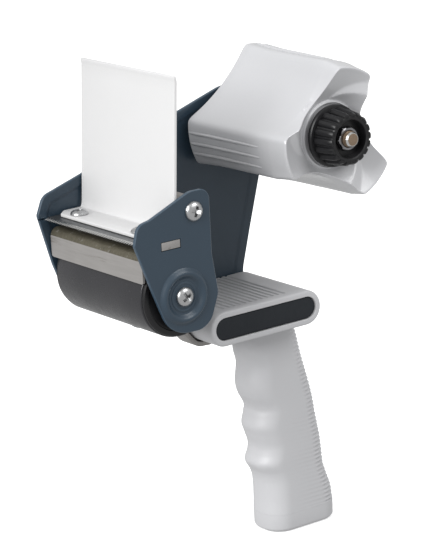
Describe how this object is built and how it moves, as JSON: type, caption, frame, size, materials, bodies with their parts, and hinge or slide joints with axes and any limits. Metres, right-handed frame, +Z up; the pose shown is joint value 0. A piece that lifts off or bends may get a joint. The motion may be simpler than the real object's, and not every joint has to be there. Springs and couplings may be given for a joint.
{
  "type": "tape dispenser",
  "caption": "Pistol-grip packing-tape dispenser: rubber roller and toothed blade between two steel side plates, lobed core hub with tension knob, plastic flap and grip.",
  "frame": {"origin": "centre of the flat butt face at the bottom of the grip", "axes": "+Z up along the grip, -X forward towards the roller and blade, -Y towards the open loading side with the tension knob"},
  "size_m": [0.1648, 0.102, 0.2658],
  "materials": {
    "plate_paint": "satin",
    "zinc": "zinc plated",
    "bright_steel": "bright",
    "steel": "ground",
    "rubber": "matt",
    "black_plastic": "satin",
    "dark_plastic": "matt",
    "light_plastic": "satin",
    "gloss_plastic": "gloss",
    "tongue_plastic": "satin",
    "bronze_steel": "yellow passivated"
  },
  "bodies": {
    "frame": {"far_side_plate": "plate_paint", "near_side_plate": "plate_paint", "cross_bar": "zinc", "cutter_blade": "steel", "tape_guide_strip": "zinc", "tongue_foot": "tongue_plastic", "tongue_screw_near": "bright_steel", "tongue_screw_far": "bright_steel", "axle_screw_near": "bright_steel", "axle_screw_far": "bright_steel", "spacer_screw_near": "bright_steel", "spacer_screw_far": "bright_steel", "roller_axle": "steel", "upper_spacer": "zinc", "handle_screw_1": "bright_steel", "handle_screw_2": "bright_steel", "handle_screw_3": "bright_steel", "roller_washer_near": "bright_steel", "roller_washer_far": "bright_steel", "hub_stud": "bronze_steel", "stud_washer": "bright_steel", "stud_nut": "bright_steel", "friction_washer": "black_plastic", "tension_spring": "steel", "handle_body": "light_plastic", "head_plug": "dark_plastic", "butt_cap": "light_plastic", "handle_strap": "zinc", "strap_screw": "bright_steel"},
    "roller": {"roller_core": "black_plastic", "roller_sleeve": "rubber", "roller_end_near": "black_plastic", "roller_end_far": "black_plastic"},
    "hub": {"hub_body": "gloss_plastic"},
    "tongue": {"tongue_flap": "tongue_plastic"},
    "tension_carrier": {"tension_washer": "bright_steel"},
    "knob": {"tension_knob": "black_plastic", "knob_insert": "bright_steel"}
  },
  "joints": [
    {"name": "roller_spin", "type": "hinge", "parent": "frame", "child": "roller", "pos_m": [-0.1015, -0.0134, 0.158], "axis": [0, 1, 0], "continuous": true},
    {"name": "hub_spin", "type": "hinge", "parent": "frame", "child": "hub", "pos_m": [0.0022, -0.0134, 0.2186], "axis": [0, 1, 0], "continuous": true},
    {"name": "tongue_flex", "type": "hinge", "parent": "frame", "child": "tongue", "pos_m": [-0.1045, -0.0134, 0.1892], "axis": [0, 1, 0], "range_deg": [-20, 0], "stiffness_Nm_per_rad": 0.6},
    {"name": "knob_travel", "type": "slide", "parent": "frame", "child": "tension_carrier", "axis": [0, 1, 0], "range_m": [-0.0025, 0.00125], "deforming": ["tension_spring"]},
    {"name": "knob_turn", "type": "hinge", "parent": "tension_carrier", "child": "knob", "pos_m": [0.0022, -0.0134, 0.2186], "axis": [0, 1, 0], "range_deg": [-723, 363]}
  ],
  "couplings": [
    {"joint": "knob_turn", "follows": "knob_travel", "rad_per_m": 5026.5}
  ]
}
